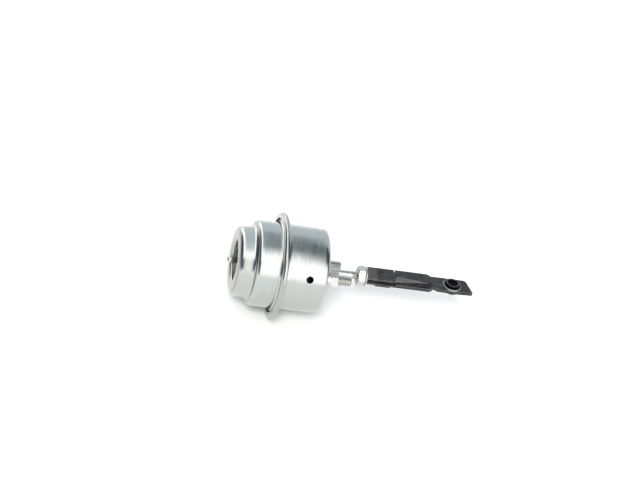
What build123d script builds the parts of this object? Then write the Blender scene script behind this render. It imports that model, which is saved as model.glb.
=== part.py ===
"""Diaphragm actuator for a turbocharger wastegate or vane ring.

Two drawn steel shells are crimped together round a rubber diaphragm. A spring pushes the diaphragm,
its piston and the rod out, towards the link. Vacuum on the hose nipple draws them back in.

Millimetres. The rod runs along +X, the link lies flat in the XY plane and +Z is normal to its eye.
The origin is on the rod's axis, in the plane of the stud nuts' outer faces, where a bracket seats.
"""

import math
import os

from build123d import *

# Canister shells, measured on their outer surface
sheet = 1.0
cup_radius = 26.2
cup_depth = 26.2
cup_draft = 0.3
cup_end_round = 2.8
cup_foot_round = 1.2
flange_width = 6.4
lip_width = 3.6
rim_round = 1.75
shoulder_step = 6.3
shoulder_length = 15.3
shoulder_round = 2.2
shoulder_foot_round = 1.5
nose_clearance = 2.9
nose_length = 10.5
nose_spread = 1.2
nose_round = 2.7
nose_foot_round = 1.4
recess_clearance = 1.7
recess_depth = 7.0
recess_mouth_round = 1.3
recess_floor_round = 2.0
dome_flange_gap = 0.8
vent_radius = 2.25
vent_from_face = 11.5
hole_overcut = 2.0

# Hose nipple, a pressed tube with a bead at its tip
nipple_radius = 1.85
nipple_bore_radius = 0.95
nipple_reach = 4.0
bead_radius = 2.15
bead_land = 1.2
bead_taper = 0.7
nipple_foot_radius = 3.4
nipple_foot = 1.2

# Studs, their washers and nuts (M6), and the plate inside the cup that carries the stud heads.
# A stud has its crest radius on the free end, past the nut, and its pitch radius from there inwards.
stud_radius = 3.0
stud_shank_radius = 2.7
stud_edge_distance = 4.8
stud_clocking = 23.0
stud_reach = 8.7
stud_chamfer = 0.7
stud_head_radius = 5.0
stud_head = 2.5
stud_hole_clearance = 0.1
washer_radius = 5.6
washer_thickness = 1.6
nut_flats = 10.0
nut_height = 4.9
nut_turn = 50.0
nut_chamfer = 0.45
nut_countersink = 0.5
countersink_slope = 45.0
stud_plate_clearance = 2.1
stud_plate_thickness = 2.0
stud_plate_round = 0.6

# Rod, its guide and its stop
rod_radius = 2.35
rod_thread_radius = 2.5
rod_running_clearance = 0.05
thread_before_nut = 3.3
rod_end_from_slot = 1.0
rod_chamfer = 0.5
tenon_radius = 1.8
rivet_head_radius = 3.2
rivet_head = 1.4
guide_radius = 4.0
guide_flange_radius = 7.0
guide_flange = 2.0
guide_collar_radius = 4.9
guide_collar = 1.5
bumper_radius = 6.4
bumper_thickness = 3.2
bumper_bore_clearance = 0.4
bumper_round = 0.8
stop_gap = 0.3
fit_gap = 0.1

# Diaphragm stack, from the rod side to the spring side
backing_inset = 4.2
backing_thickness = 1.5
backing_round = 1.8
backing_rim = 1.2
rubber = 0.7
roll_width = 5.9
piston_depth = 16.5
piston_round = 2.0
convolution_height = 6.5
rivet_washer_radius = 5.5
rivet_washer = 1.2

# Return spring
spring_wire = 2.2
spring_clearance = 1.1
spring_turns = 6.5
spring_spans_per_turn = 4

# Lock nut
lock_flats = 11.0
lock_hex = 4.3
lock_flange = 1.2
lock_flange_radius = 6.3
lock_turn = 6.6
lock_chamfer = 0.6

# Link, one sheet folded along its far edge into two leaves, pinched together at the tongue
link_sheet = 1.0
seam_height = 0.2
link_start = 21.3
link_far_width = 6.1
link_near_width = 6.5
roof_length = 17.7
roof_top = 3.7
fold_round = 1.0
hollow_round = 0.2
slot_width = 0.9
body_length = 42.1
body_end_round = 3.0
body_end_slant = 2.7
waist_near_step = 3.1
waist_far_width = 4.2
waist_depth = 0.5
waist_length = 3.6
waist_round = 0.8
neck_near_width = 5.2
body_to_eye = 12.8
tongue_near_width = 5.6
tongue_far_width = 7.0
tongue_round = 2.0
eye_to_tip = 13.0
tip_slant = 3.4
tip_near_width = 5.0
far_tip_round = 2.0
near_tip_round = 0.6
leaf_gap = 0.1

# Hump over the rod's end, its near upper edge cut by a facet that tapers out, and keel under it
hump_near_width = 3.6
hump_end_round = 4.4
facet_width = 2.1
facet_drop = 2.3
keel_from_slot = 3.0
keel_from_end = 3.9
keel_half_width = 4.6
keel_height = 3.7

# Threaded block held under the roof, its foot through a window in the lower leaf
block_from_rod_end = 10.6
block_length = 9.6
block_half_width = 4.2
block_bottom = -3.5
block_edge_round = 0.5
block_window_clearance = 0.15
rod_notch_clearance = 0.4

# Eye bush, swaged over both faces of the tongue, with a raised collar
eye_radius = 4.3
bush_flange_radius = 5.9
bush_flange = 1.1
bush_foot_radius = 5.4
bush_foot = 1.0
bush_collar_radius = 4.3
bush_collar = 2.7
bush_bore_radius = 3.1
bush_round = 0.5

# Radii that follow from the cup's radius, outside to inside
flange_radius = cup_radius + flange_width
rim_edge_radius = flange_radius - sheet - dome_flange_gap
shoulder_radius = flange_radius - shoulder_step
roll_outer = shoulder_radius - sheet - fit_gap
roll_inner = roll_outer - roll_width
piston_radius = roll_inner - fit_gap
backing_radius = piston_radius - backing_inset
spring_radius = piston_radius - sheet - spring_clearance - spring_wire / 2
nose_radius = spring_radius + spring_wire / 2 + nose_clearance + sheet
recess_radius = spring_radius - spring_wire / 2 - recess_clearance - sheet
stud_plate_radius = cup_radius - cup_draft - sheet - stud_plate_clearance
stud_pitch_radius = stud_plate_radius - stud_edge_distance
stud_hole_radius = stud_shank_radius + stud_hole_clearance

# Places along the rod's axis that follow from the sizes above
cup_face = -(washer_thickness + nut_height)
cup_floor = cup_face - sheet
flange_right = cup_face - cup_depth
rubber_right = flange_right - sheet
rubber_left = rubber_right - rubber
dome_flange_left = rubber_left - sheet
flange_left = dome_flange_left - sheet
shoulder_face = dome_flange_left - shoulder_length
nose_crest = shoulder_face - nose_length
recess_floor = nose_crest + recess_depth
nipple_tip = nose_crest - nipple_reach
plate_left = cup_floor - stud_plate_thickness
guide_left = plate_left - guide_flange
bumper_left = guide_left - bumper_thickness
backing_right = bumper_left - stop_gap
backing_left = backing_right - backing_thickness
disc_left = backing_left - rubber
piston_floor_left = disc_left - sheet
rivet_seat = piston_floor_left - rivet_washer
spring_left = nose_crest + sheet
lock_start = link_start - lock_flange - lock_hex
roof_end = link_start + roof_length
rod_thread_start = lock_start - thread_before_nut
rod_thread_end = roof_end - rod_end_from_slot
hump_start = roof_end + slot_width
body_end = link_start + body_length
eye_x = body_end + body_to_eye
link_tip = eye_x + eye_to_tip
waist_near_width = link_near_width - waist_near_step
across_link = 4 * link_near_width
block_start = rod_thread_end - block_from_rod_end

# Heights across the link that follow from its sheet
block_top = roof_top - link_sheet
leaf_top = seam_height + link_sheet
leaf_bottom = seam_height - link_sheet


def hexagon_prism(start, length, flats, turn):
    """A hexagonal prism along +X. turn is the angle of one corner from -Y towards +Z, in degrees."""
    with BuildPart() as prism:
        with BuildSketch(Plane.YZ.offset(start)):
            RegularPolygon(flats / 2, 6, major_radius=False, rotation=180 - turn)
        extrude(amount=length)
    return prism.part


def nut_cone(start, length, flats, chamfer_run):
    """The turned envelope that rounds off a nut's corners at both ends."""
    corner_radius = flats / math.sqrt(3)
    end_radius = corner_radius - chamfer_run * math.sqrt(3)
    with BuildPart() as cone:
        with BuildSketch(Plane.XY):
            with BuildLine():
                Polyline(
                    (start, 0),
                    (start, end_radius),
                    (start + chamfer_run, corner_radius),
                    (start + length - chamfer_run, corner_radius),
                    (start + length, end_radius),
                    (start + length, 0),
                    close=True,
                )
            make_face()
        revolve(axis=Axis.X)
    return cone.part


def hump_form(inset):
    """The raised form over the rod's end. inset is how far its surface is set inwards."""
    top = roof_top - inset
    near = hump_near_width - inset
    far = link_far_width - inset
    facet = Plane(
        origin=(hump_start, facet_width - near, top),
        x_dir=(body_end - hump_start, -facet_width, 0),
        z_dir=Vector(body_end - hump_start, -facet_width, 0).cross(
            Vector(0, facet_width, facet_drop)
        ),
    )
    with BuildPart() as hump:
        with BuildSketch(Plane.XY.offset(seam_height)) as plan:
            with Locations((hump_start, -near)):
                Rectangle(body_end - inset - hump_start, near + far, align=(Align.MIN, Align.MIN))
            fillet(plan.vertices().group_by(Axis.X)[-1], hump_end_round - inset)
        extrude(amount=top - seam_height)
        upper_edges = hump.faces().sort_by(Axis.Z)[-1].edges().sort_by(Axis.X)[1:]
        fillet(upper_edges, fold_round if inset == 0 else hollow_round)
        split(bisect_by=facet, keep=Keep.BOTTOM)
    return hump.part


def keel_form(inset):
    """The arched form under the rod's end, round at both ends, set inwards by inset."""
    radius = (keel_half_width**2 + keel_height**2) / (2 * keel_height)
    left = hump_start + keel_from_slot + keel_half_width
    right = body_end - keel_from_end - keel_half_width
    centre_height = seam_height + radius - keel_height
    with BuildPart() as keel:
        with BuildSketch(Plane.YZ.offset(left)):
            with Locations((0, centre_height)):
                Circle(radius - inset)
        extrude(amount=right - left)
        with Locations((left, 0, centre_height), (right, 0, centre_height)):
            Sphere(radius - inset)
        split(bisect_by=Plane.XY.offset(seam_height), keep=Keep.BOTTOM)
    return keel.part


def save(part, name):
    """Labels a finished piece and writes it under its own name."""
    part.label = name
    export_step(part, f"parts/{name}.step")


os.makedirs("parts", exist_ok=True)

# Front and rear stud positions, clocked round the rod from -Y towards +Z
clock = math.radians(stud_clocking)
stud_places = {
    "front": (-stud_pitch_radius * math.cos(clock), stud_pitch_radius * math.sin(clock)),
    "rear": (stud_pitch_radius * math.cos(clock), -stud_pitch_radius * math.sin(clock)),
}

# Dome shell: nose with its recess, shoulder and clamped flange, drawn from one sheet
with BuildPart() as dome_shell:
    with BuildSketch(Plane.XY):
        with BuildLine():
            dome_skin = FilletPolyline(
                (recess_floor, nipple_radius + fit_gap),
                (recess_floor, recess_radius),
                (nose_crest, recess_radius),
                (nose_crest, nose_radius),
                (shoulder_face, nose_radius + nose_spread),
                (shoulder_face, shoulder_radius),
                (dome_flange_left, shoulder_radius),
                (dome_flange_left, rim_edge_radius),
                radius=[
                    recess_floor_round,
                    recess_mouth_round,
                    nose_round,
                    nose_foot_round,
                    shoulder_round,
                    shoulder_foot_round,
                ],
            )
            offset(dome_skin, amount=sheet, side=Side.RIGHT)
        make_face()
    revolve(axis=Axis.X)
save(dome_shell.part, "dome_shell")

# Hose nipple: pressed tube with a foot inside the dome and a bead for the hose at its tip
with BuildPart() as hose_nipple:
    with BuildSketch(Plane.XY):
        with BuildLine():
            Polyline(
                (nipple_tip, nipple_bore_radius),
                (nipple_tip, bead_radius - bead_taper),
                (nipple_tip + bead_taper, bead_radius),
                (nipple_tip + bead_taper + bead_land, bead_radius),
                (nipple_tip + 2 * bead_taper + bead_land, nipple_radius),
                (recess_floor + sheet, nipple_radius),
                (recess_floor + sheet, nipple_foot_radius),
                (recess_floor + sheet + nipple_foot, nipple_foot_radius),
                (recess_floor + sheet + nipple_foot, nipple_bore_radius),
                close=True,
            )
        make_face()
    revolve(axis=Axis.X)
save(hose_nipple.part, "hose_nipple")

# Cup shell: closed end, vented wall and the flange rolled over the dome's edge
with BuildPart() as cup_shell:
    with BuildSketch(Plane.XY):
        with BuildLine():
            cup_skin = FilletPolyline(
                (cup_face, guide_radius + fit_gap),
                (cup_face, cup_radius - cup_draft),
                (flange_right, cup_radius),
                (flange_right, flange_radius),
                (flange_left, flange_radius),
                (flange_left, flange_radius - lip_width),
                radius=[cup_end_round, cup_foot_round, rim_round, rim_round],
            )
            offset(cup_skin, amount=sheet, side=Side.LEFT)
        make_face()
    revolve(axis=Axis.X)
    with BuildSketch(Plane.YZ.offset(cup_floor)):
        with Locations(*stud_places.values()):
            Circle(stud_hole_radius)
    extrude(amount=sheet, mode=Mode.SUBTRACT)
    vent_plane = Plane(
        origin=(cup_face - vent_from_face, 0, 0),
        z_dir=(0, -math.cos(clock), math.sin(clock)),
    )
    with BuildSketch(vent_plane.offset(cup_radius - sheet - hole_overcut)):
        Circle(vent_radius)
    extrude(amount=sheet + 2 * hole_overcut, mode=Mode.SUBTRACT)
save(cup_shell.part, "cup_shell")

# Stud plate inside the cup, which spreads the load of the stud heads
with BuildPart() as stud_plate:
    with BuildSketch(Plane.YZ.offset(plate_left)):
        Circle(stud_plate_radius)
        Circle(guide_radius + fit_gap, mode=Mode.SUBTRACT)
        with Locations(*stud_places.values()):
            Circle(stud_hole_radius, mode=Mode.SUBTRACT)
    extrude(amount=stud_plate_thickness)
    plate_outer_edges = stud_plate.edges().filter_by(GeomType.CIRCLE).sort_by(SortBy.RADIUS)[-2:]
    chamfer(plate_outer_edges, stud_plate_round)
save(stud_plate.part, "stud_plate")

# Studs with their washers and nuts, one set on each side of the rod
for side, (y, z) in stud_places.items():
    with BuildPart() as stud:
        with BuildSketch(Plane.YZ.offset(plate_left - stud_head)):
            with Locations((y, z)):
                Circle(stud_head_radius)
        extrude(amount=stud_head)
        with BuildSketch(Plane.YZ.offset(plate_left)):
            with Locations((y, z)):
                Circle(stud_shank_radius)
        extrude(amount=-plate_left)
        with BuildSketch(Plane.YZ):
            with Locations((y, z)):
                Circle(stud_radius)
        extrude(amount=stud_reach)
        chamfer(stud.faces().sort_by(Axis.X)[-1].edges(), stud_chamfer)
    save(stud.part, f"stud_{side}")

    with BuildPart() as washer:
        with BuildSketch(Plane.YZ.offset(cup_face)):
            with Locations((y, z)):
                Circle(washer_radius)
                Circle(stud_hole_radius, mode=Mode.SUBTRACT)
        extrude(amount=washer_thickness)
    save(washer.part, f"stud_washer_{side}")

    nut_blank = hexagon_prism(-nut_height, nut_height, nut_flats, nut_turn)
    nut_envelope = nut_cone(-nut_height, nut_height, nut_flats, nut_chamfer)
    with BuildPart() as stud_nut:
        add(Pos(0, y, z) * nut_blank)
        add(Pos(0, y, z) * nut_envelope, mode=Mode.INTERSECT)
        with BuildSketch(Plane.YZ.offset(-nut_height)):
            with Locations((y, z)):
                Circle(stud_hole_radius)
        extrude(amount=nut_height, mode=Mode.SUBTRACT)
        with BuildSketch(Plane.YZ):
            with Locations((y, z)):
                Circle(stud_hole_radius + nut_countersink)
        extrude(amount=-nut_countersink, taper=countersink_slope, mode=Mode.SUBTRACT)
    save(stud_nut.part, f"stud_nut_{side}")

# Rod guide: flange behind the stud plate, collar swaged outside the cup
with BuildPart() as rod_guide:
    with BuildSketch(Plane.XY):
        with BuildLine():
            Polyline(
                (guide_left, rod_radius + rod_running_clearance),
                (guide_left, guide_flange_radius),
                (plate_left, guide_flange_radius),
                (plate_left, guide_radius),
                (cup_face, guide_radius),
                (cup_face, guide_collar_radius),
                (cup_face + guide_collar / 2, guide_collar_radius),
                (cup_face + guide_collar, guide_radius),
                (cup_face + guide_collar, rod_radius + rod_running_clearance),
                close=True,
            )
        make_face()
    revolve(axis=Axis.X)
save(rod_guide.part, "rod_guide")

# Rubber bumper on the guide, the stop for the extended rod
with BuildPart() as stop_bumper:
    with BuildSketch(Plane.YZ.offset(bumper_left)):
        Circle(bumper_radius)
        Circle(rod_radius + bumper_bore_clearance, mode=Mode.SUBTRACT)
    extrude(amount=bumper_thickness)
    fillet(stop_bumper.faces().sort_by(Axis.X)[0].outer_wire().edges(), bumper_round)
save(stop_bumper.part, "stop_bumper")

# Backing plate: dished washer on the rod side of the diaphragm, its rim turned towards the cup
with BuildPart() as backing_plate:
    with BuildSketch(Plane.XY):
        with BuildLine():
            backing_skin = FilletPolyline(
                (backing_left, tenon_radius + fit_gap),
                (backing_left, backing_radius),
                (backing_right + backing_rim, backing_radius),
                radius=backing_round,
            )
            offset(backing_skin, amount=backing_thickness, side=Side.RIGHT)
        make_face()
    revolve(axis=Axis.X)
save(backing_plate.part, "backing_plate")

# Piston cup: drawn cup that carries the spring and guides the diaphragm's roll
with BuildPart() as piston_cup:
    with BuildSketch(Plane.XY):
        with BuildLine():
            piston_skin = FilletPolyline(
                (disc_left, tenon_radius + fit_gap),
                (disc_left, piston_radius),
                (disc_left - piston_depth, piston_radius),
                radius=piston_round,
            )
            offset(piston_skin, amount=sheet, side=Side.LEFT)
        make_face()
    revolve(axis=Axis.X)
save(piston_cup.part, "piston_cup")

# Diaphragm: clamped rim, one rolling fold against the shoulder and a hat over the piston
roll_crest = rubber_left - convolution_height
roll_round = roll_width / 2 - fit_gap
with BuildPart() as diaphragm:
    with BuildSketch(Plane.XY):
        with BuildLine():
            rubber_skin = FilletPolyline(
                (rubber_left, rim_edge_radius),
                (rubber_left, roll_outer),
                (roll_crest, roll_outer),
                (roll_crest, roll_inner),
                (disc_left, roll_inner),
                (disc_left, tenon_radius + fit_gap),
                radius=[
                    shoulder_foot_round + sheet + fit_gap,
                    roll_round,
                    roll_round,
                    piston_round,
                ],
            )
            offset(rubber_skin, amount=rubber, side=Side.LEFT)
        make_face()
    revolve(axis=Axis.X)
save(diaphragm.part, "diaphragm")

# Rivet washer under the rod's headed end
with BuildPart() as rivet_washer_plate:
    with BuildSketch(Plane.YZ.offset(rivet_seat)):
        Circle(rivet_washer_radius)
        Circle(tenon_radius + fit_gap, mode=Mode.SUBTRACT)
    extrude(amount=rivet_washer)
save(rivet_washer_plate.part, "rivet_washer")

# Return spring: round wire, its ends ground flat on the dome and on the piston
spring_length = piston_floor_left - spring_left
spring_rise = spring_length / (spring_turns * math.tau)
span_angle = math.tau / spring_spans_per_turn


def coil_point(angle):
    """The middle of the wire after turning by angle, in radians, from the dome's end."""
    return (
        spring_left + spring_rise * angle,
        spring_radius * math.cos(angle),
        spring_radius * math.sin(angle),
    )


def coil_direction(angle):
    """Which way the wire runs there."""
    return (spring_rise, -spring_radius * math.sin(angle), spring_radius * math.cos(angle))


with BuildPart() as return_spring:
    with BuildLine() as spring_path:
        for span in range(round(spring_turns * spring_spans_per_turn)):
            first = span * span_angle
            Spline(
                coil_point(first),
                coil_point(first + span_angle / 2),
                coil_point(first + span_angle),
                tangents=(coil_direction(first), coil_direction(first + span_angle)),
            )
    with BuildSketch(Plane(origin=coil_point(0), z_dir=coil_direction(0))):
        Circle(spring_wire / 2)
    sweep(path=spring_path.wires()[0], is_frenet=True)
    split(bisect_by=Plane.YZ.offset(spring_left), keep=Keep.TOP)
    split(bisect_by=Plane.YZ.offset(piston_floor_left), keep=Keep.BOTTOM)
save(return_spring.part, "return_spring")

# Rod: headed tenon through the diaphragm stack, plain shank, threaded end
with BuildPart() as rod:
    with BuildSketch(Plane.XY):
        with BuildLine():
            Polyline(
                (rivet_seat - rivet_head, 0),
                (rivet_seat - rivet_head, tenon_radius),
                (rivet_seat - rivet_head / 2, rivet_head_radius),
                (rivet_seat, rivet_head_radius),
                (rivet_seat, tenon_radius),
                (backing_right, tenon_radius),
                (backing_right, rod_radius),
                (rod_thread_start, rod_radius),
                (rod_thread_start + rod_thread_radius - rod_radius, rod_thread_radius),
                (rod_thread_end - rod_chamfer, rod_thread_radius),
                (rod_thread_end, rod_thread_radius - rod_chamfer),
                (rod_thread_end, 0),
                close=True,
            )
        make_face()
    revolve(axis=Axis.X)
save(rod.part, "rod")

# Lock nut: hexagon with a washer flange that bears on the link
lock_blank = hexagon_prism(lock_start, lock_hex, lock_flats, lock_turn)
lock_envelope = nut_cone(lock_start, lock_hex + lock_chamfer, lock_flats, lock_chamfer)
with BuildPart() as lock_nut:
    add(lock_blank)
    add(lock_envelope, mode=Mode.INTERSECT)
    with BuildSketch(Plane.XY):
        with BuildLine():
            Polyline(
                (lock_start + lock_hex, 0),
                (lock_start + lock_hex, lock_flats / 2),
                (link_start - lock_flange / 2, lock_flange_radius),
                (link_start, lock_flange_radius),
                (link_start, 0),
                close=True,
            )
        make_face()
    revolve(axis=Axis.X)
    with BuildSketch(Plane.YZ.offset(lock_start)):
        Circle(rod_thread_radius + fit_gap)
    extrude(amount=lock_hex + lock_flange, mode=Mode.SUBTRACT)
save(lock_nut.part, "lock_nut")

# Link: folded sheet with a roof over the block, a hump and keel behind it, and a tongue with the eye
hump = hump_form(0)
hump_hollow = hump_form(link_sheet)
keel = keel_form(0)
keel_hollow = keel_form(link_sheet)
with BuildPart() as link:
    with BuildSketch(Plane.XY.offset(leaf_bottom)):
        with BuildLine():
            FilletPolyline(
                (link_start, link_far_width),
                (link_start, -link_near_width),
                (body_end, -link_near_width),
                (body_end, -waist_near_width),
                (body_end + waist_length, -neck_near_width),
                (eye_x, -tongue_near_width),
                (link_tip, -tip_near_width),
                (link_tip - tip_slant, tongue_far_width),
                (body_end, tongue_far_width),
                (body_end - waist_depth, waist_far_width),
                (body_end - waist_depth - body_end_slant, link_far_width),
                radius=[
                    0,
                    0,
                    body_end_round,
                    waist_round,
                    waist_round,
                    tongue_round,
                    near_tip_round,
                    far_tip_round,
                    waist_round,
                    0,
                    waist_round,
                ],
                close=True,
            )
        make_face()
    extrude(amount=leaf_top - leaf_bottom)

    # Roof over the block, joined to the lower leaf by the folded wall, then the slot behind it
    with BuildSketch(Plane.YZ.offset(link_start)) as roof_section:
        with Locations((-link_near_width, leaf_bottom)):
            Rectangle(
                link_near_width + link_far_width,
                roof_top - leaf_bottom,
                align=(Align.MIN, Align.MIN),
            )
        fillet(roof_section.vertices().group_by(Axis.Y)[-1].sort_by(Axis.X)[-1], fold_round)
    extrude(amount=roof_length)
    with BuildSketch(Plane.YZ.offset(link_start)):
        with Locations((link_far_width - link_sheet, seam_height)):
            Rectangle(
                link_near_width + link_far_width,
                block_top - seam_height,
                align=(Align.MAX, Align.MIN),
            )
    extrude(amount=roof_length, mode=Mode.SUBTRACT)
    with BuildSketch(Plane.YZ.offset(roof_end)):
        with Locations((0, seam_height)):
            Rectangle(across_link, roof_top, align=(Align.CENTER, Align.MIN))
    extrude(amount=slot_width, mode=Mode.SUBTRACT)

    # Window for the block's foot and a notch for the rod in the lower leaf
    with BuildSketch(Plane.XY.offset(leaf_bottom)):
        with Locations((block_start - block_window_clearance, 0)):
            Rectangle(
                block_length + 2 * block_window_clearance,
                2 * (block_half_width + block_window_clearance),
                align=(Align.MIN, Align.CENTER),
            )
        with Locations((link_start, 0)):
            Rectangle(
                roof_length,
                2 * (rod_thread_radius + rod_notch_clearance),
                align=(Align.MIN, Align.CENTER),
            )
    extrude(amount=link_sheet, mode=Mode.SUBTRACT)

    # Hump and keel round the rod's end, then the seam between the leaves
    add(hump)
    add(keel)
    add(hump_hollow, mode=Mode.SUBTRACT)
    add(keel_hollow, mode=Mode.SUBTRACT)
    with BuildSketch(Plane.XY.offset(seam_height - leaf_gap / 2)):
        with Locations((hump_start, link_far_width - fold_round)):
            Rectangle(link_tip - hump_start, across_link, align=(Align.MIN, Align.MAX))
    extrude(amount=leaf_gap, mode=Mode.SUBTRACT)
    with BuildSketch(Plane.XY.offset(leaf_bottom)):
        with Locations((eye_x, 0)):
            Circle(eye_radius)
    extrude(amount=leaf_top - leaf_bottom, mode=Mode.SUBTRACT)
save(link.part, "link")

# Threaded block: held under the roof, its foot standing out below the lower leaf
with BuildPart() as adjuster_block:
    with BuildSketch(Plane.YZ.offset(block_start)) as block_section:
        with Locations((0, block_bottom)):
            Rectangle(
                2 * block_half_width,
                block_top - block_bottom,
                align=(Align.CENTER, Align.MIN),
            )
        fillet(block_section.vertices().group_by(Axis.Y)[0], block_edge_round)
        Circle(rod_thread_radius + fit_gap, mode=Mode.SUBTRACT)
    extrude(amount=block_length)
save(adjuster_block.part, "adjuster_block")

# Eye bush: swaged over both faces of the tongue, its upper flange carrying a raised collar
with BuildPart() as eye_bush:
    with BuildSketch(Plane.XZ):
        with BuildLine():
            FilletPolyline(
                (eye_x + bush_bore_radius, leaf_bottom - bush_foot),
                (eye_x + bush_foot_radius, leaf_bottom - bush_foot),
                (eye_x + bush_foot_radius, leaf_bottom),
                (eye_x + eye_radius, leaf_bottom),
                (eye_x + eye_radius, leaf_top),
                (eye_x + bush_flange_radius, leaf_top),
                (eye_x + bush_flange_radius, leaf_top + bush_flange),
                (eye_x + bush_collar_radius, leaf_top + bush_flange),
                (eye_x + bush_collar_radius, leaf_top + bush_collar),
                (eye_x + bush_bore_radius, leaf_top + bush_collar),
                radius=[0, bush_round, 0, 0, 0, 0, bush_round, bush_round / 2, bush_round, bush_round],
                close=True,
            )
        make_face()
    revolve(axis=Axis((eye_x, 0, 0), (0, 0, 1)))
save(eye_bush.part, "eye_bush")
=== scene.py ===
"""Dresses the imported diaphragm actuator: plated shells, real threads, black link and a studio.

Metres, apart from the turned shells and the nipple, whose sizes are in millimetres. The rod runs
along +X, the link's eye faces +Z and the origin lies on the rod's axis, in the plane where a
bracket seats on the stud nuts.
"""

import logging
import math
from dataclasses import dataclass, replace
from enum import Enum

import bpy
from mathutils import Matrix, Vector

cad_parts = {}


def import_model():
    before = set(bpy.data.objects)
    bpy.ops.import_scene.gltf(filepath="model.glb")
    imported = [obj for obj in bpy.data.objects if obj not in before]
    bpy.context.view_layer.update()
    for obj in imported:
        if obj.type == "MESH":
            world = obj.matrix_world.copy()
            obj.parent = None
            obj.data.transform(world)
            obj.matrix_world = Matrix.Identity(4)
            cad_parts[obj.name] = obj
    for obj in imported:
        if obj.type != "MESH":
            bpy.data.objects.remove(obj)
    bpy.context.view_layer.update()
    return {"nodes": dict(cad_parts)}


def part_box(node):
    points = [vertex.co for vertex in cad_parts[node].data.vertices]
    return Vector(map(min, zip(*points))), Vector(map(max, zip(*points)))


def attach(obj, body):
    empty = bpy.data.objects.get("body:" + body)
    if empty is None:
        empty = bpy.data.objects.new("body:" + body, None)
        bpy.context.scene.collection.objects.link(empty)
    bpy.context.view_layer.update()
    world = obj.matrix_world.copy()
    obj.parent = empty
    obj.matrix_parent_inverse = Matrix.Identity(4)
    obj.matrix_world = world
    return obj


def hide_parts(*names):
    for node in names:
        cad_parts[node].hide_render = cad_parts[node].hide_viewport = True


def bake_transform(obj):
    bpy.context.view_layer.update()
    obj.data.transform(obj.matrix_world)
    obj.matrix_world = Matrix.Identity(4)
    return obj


Point = tuple[float, float, float]
Colour = tuple[float, float, float]
Span = tuple[float, float]
Fit = tuple[float, float, float, float]
Stops = tuple[tuple[float, Colour], ...]
Piece = bpy.types.Object
Material = bpy.types.Material
Nodes = dict[str, Piece]
Socket = bpy.types.NodeSocket
Value = Socket | float | tuple[float, ...]

MM = 0.001
MERGE_DISTANCE = 0.0000005
# The size of the circles whose points are moved into a section
SECTION_SIZE = 0.01
# The mixing node's colour sockets share their names with its other kinds, so they go by place
MIX_COLOUR_INPUTS = (6, 7)
MIX_COLOUR_OUTPUT = 2
log = logging.getLogger("actuator")


class PlatingShade(Enum):
    """Named tints of the bright plating and of bare steel, as linear colours."""

    SHELL = (0.505, 0.524, 0.516)
    HARDWARE = (0.58, 0.58, 0.565)
    PLAIN_STEEL = (0.62, 0.61, 0.6)
    SPRING_WIRE = (0.36, 0.36, 0.38)


def deselect() -> None:
    """Leaves object mode with nothing selected."""
    if bpy.context.object and bpy.context.object.mode != "OBJECT":
        bpy.ops.object.mode_set(mode="OBJECT")
    bpy.ops.object.select_all(action="DESELECT")


def activate(piece: Piece) -> None:
    """Selects one piece alone and makes it the active object.

    Args:
        piece: the piece to work on.
    """
    deselect()
    piece.select_set(True)
    bpy.context.view_layer.objects.active = piece


def copied(nodes: Nodes, name: str, ending: str) -> Piece:
    """Copies a CAD node's mesh into a piece of its own and joins its loose triangles.

    Args:
        nodes: the frame's CAD nodes by name.
        name: the node to copy.
        ending: what the copy's name adds to the node's.

    Returns:
        The copy, which is the active object.
    """
    piece = bpy.data.objects.new(f"{name}_{ending}", nodes[name].data.copy())
    bpy.context.scene.collection.objects.link(piece)
    activate(piece)
    bpy.ops.object.mode_set(mode="EDIT")
    bpy.ops.mesh.select_all(action="SELECT")
    bpy.ops.mesh.remove_doubles(threshold=MERGE_DISTANCE)
    bpy.ops.object.mode_set(mode="OBJECT")
    return piece


def cut_away(piece: Piece, cutter: Piece, smooth_degrees: float) -> None:
    """Cuts a closed solid out of a piece, removes the cutter and smooths what is left.

    Args:
        piece: the piece to cut.
        cutter: the solid to cut out.
        smooth_degrees: the sharpest turn that still counts as a curve.
    """
    activate(piece)
    cut = piece.modifiers.new("cut", "BOOLEAN")
    cut.operation = "DIFFERENCE"
    cut.solver = "EXACT"
    cut.object = cutter
    bpy.ops.object.modifier_apply(modifier=cut.name)
    bpy.data.objects.remove(cutter)
    bpy.ops.object.shade_smooth_by_angle(angle=math.radians(smooth_degrees))


def dress_piece(piece: Piece, material: Material) -> None:
    """Gives a piece one material in place of what it had.

    Args:
        piece: the piece.
        material: its finish.
    """
    piece.data.materials.clear()
    piece.data.materials.append(material)
    log.info("%s wears %s, %d faces", piece.name, material.name, len(piece.data.polygons))


def dress_nodes(nodes: Nodes, names: tuple[str, ...], material: Material) -> None:
    """Gives several CAD nodes the same material."""
    for name in names:
        dress_piece(nodes[name], material)


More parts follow.
